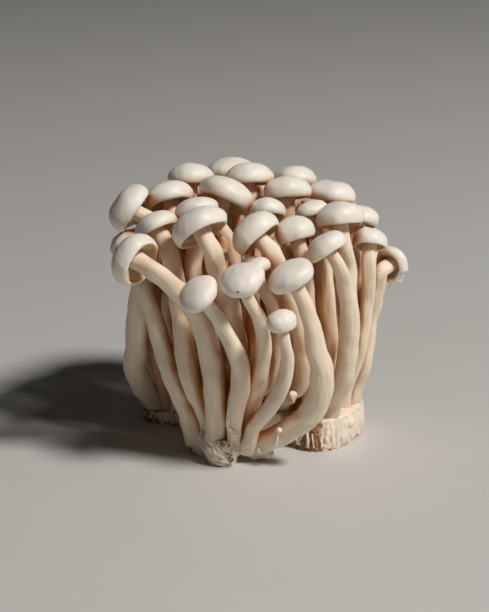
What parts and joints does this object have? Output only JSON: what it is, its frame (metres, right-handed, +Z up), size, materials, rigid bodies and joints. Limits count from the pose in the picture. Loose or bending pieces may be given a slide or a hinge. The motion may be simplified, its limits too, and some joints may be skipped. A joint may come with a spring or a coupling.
{
  "type": "beech mushroom cluster",
  "caption": "Upright cluster of white beech mushrooms, long curved stems with small round caps, growing from one trimmed base.",
  "frame": {"origin": "on the flat cut underside of the base, below the middle of the cluster", "axes": "+Z up along the stems, -Y towards the side that is seen as the front, +X to that side's right"},
  "size_m": [0.1081, 0.114, 0.1039],
  "materials": {
    "mushroom_flesh": "matte, smooth and slightly moist; fine lengthwise fibres on the stems",
    "base_flesh": "matte, fibrous and torn, with brown crumbs of the growing block"
  },
  "bodies": {
    "root": {"mushroom_front_1": "mushroom_flesh", "mushroom_front_2": "mushroom_flesh", "mushroom_front_3": "mushroom_flesh", "mushroom_front_4": "mushroom_flesh", "mushroom_left_1": "mushroom_flesh", "mushroom_left_2": "mushroom_flesh", "mushroom_left_3": "mushroom_flesh", "mushroom_left_4": "mushroom_flesh", "mushroom_left_5": "mushroom_flesh", "mushroom_left_6": "mushroom_flesh", "mushroom_left_7": "mushroom_flesh", "mushroom_left_8": "mushroom_flesh", "mushroom_right_1": "mushroom_flesh", "mushroom_right_2": "mushroom_flesh", "mushroom_right_3": "mushroom_flesh", "mushroom_right_4": "mushroom_flesh", "mushroom_right_5": "mushroom_flesh", "mushroom_right_6": "mushroom_flesh", "mushroom_right_7": "mushroom_flesh", "mushroom_right_8": "mushroom_flesh", "mushroom_right_9": "mushroom_flesh", "mushroom_right_10": "mushroom_flesh", "mushroom_top_1": "mushroom_flesh", "mushroom_top_2": "mushroom_flesh", "mushroom_top_3": "mushroom_flesh", "mushroom_top_4": "mushroom_flesh", "mushroom_top_5": "mushroom_flesh", "mushroom_top_6": "mushroom_flesh", "mushroom_back_1": "mushroom_flesh", "mushroom_back_2": "mushroom_flesh", "mushroom_back_3": "mushroom_flesh", "mushroom_back_4": "mushroom_flesh", "mushroom_back_5": "mushroom_flesh", "mushroom_back_6": "mushroom_flesh", "mushroom_back_7": "mushroom_flesh", "mushroom_back_8": "mushroom_flesh", "mushroom_back_9": "mushroom_flesh", "mushroom_back_10": "mushroom_flesh", "mushroom_back_11": "mushroom_flesh", "mushroom_back_12": "mushroom_flesh", "mushroom_back_13": "mushroom_flesh", "mushroom_back_14": "mushroom_flesh", "mushroom_back_15": "mushroom_flesh", "mushroom_back_16": "mushroom_flesh", "mushroom_back_17": "mushroom_flesh", "mushroom_back_18": "mushroom_flesh", "mushroom_back_19": "mushroom_flesh", "mushroom_inner_1": "mushroom_flesh", "mushroom_inner_2": "mushroom_flesh", "mushroom_inner_3": "mushroom_flesh", "mushroom_inner_4": "mushroom_flesh", "mushroom_inner_5": "mushroom_flesh", "mushroom_inner_6": "mushroom_flesh", "mushroom_inner_7": "mushroom_flesh", "mushroom_inner_8": "mushroom_flesh", "mushroom_inner_9": "mushroom_flesh", "mushroom_inner_10": "mushroom_flesh", "mushroom_inner_11": "mushroom_flesh", "mushroom_inner_12": "mushroom_flesh", "base": "base_flesh"}
  },
  "joints": []
}
